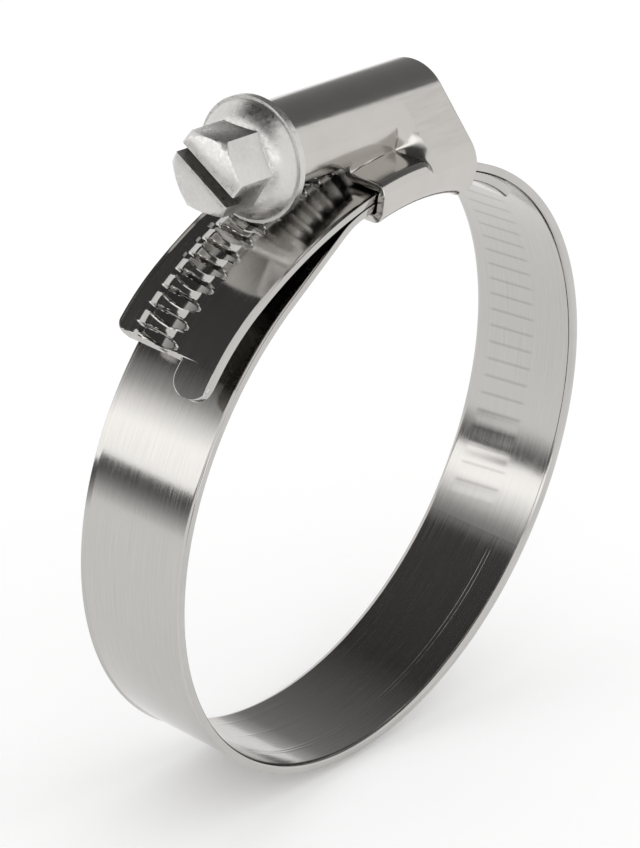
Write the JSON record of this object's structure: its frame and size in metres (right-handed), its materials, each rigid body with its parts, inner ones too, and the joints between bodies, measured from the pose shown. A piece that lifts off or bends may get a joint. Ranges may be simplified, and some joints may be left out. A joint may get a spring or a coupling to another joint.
{
  "type": "worm-drive hose clamp",
  "caption": "Worm-drive hose clamp: a steel strip looped through a sheet-metal housing, tightened by a hexagon-head worm screw.",
  "frame": {"origin": "centre of the closed loop, in the middle of the strip's width", "axes": "+Y along the hose, +Z from the hose's axis to the worm housing, +X along the screw away from its head"},
  "size_m": [0.0606, 0.0143, 0.0706],
  "materials": {
    "housing_sheet": "bright, smooth rolled sheet",
    "strip": "satin, brushed along the strip",
    "screw_steel": "bright zinc-plated, slightly grainy"
  },
  "bodies": {
    "loop": {"housing": "housing_sheet", "band": "strip"},
    "toothed_end": {"band_tail": "strip"},
    "worm_screw": {"screw": "screw_steel"}
  },
  "joints": [
    {"name": "band_travel", "type": "hinge", "parent": "loop", "child": "toothed_end", "pos_m": [-0.0011, 0, 0.00069], "axis": [0, -1, 0], "range_deg": [0, 104]},
    {"name": "screw_turn", "type": "hinge", "parent": "loop", "child": "worm_screw", "pos_m": [0, 0.0015, 0.03462], "axis": [1, 0, 0], "range_deg": [0, 10380]}
  ],
  "couplings": [
    {"joint": "screw_turn", "follows": "band_travel", "ratio": 99.752}
  ]
}
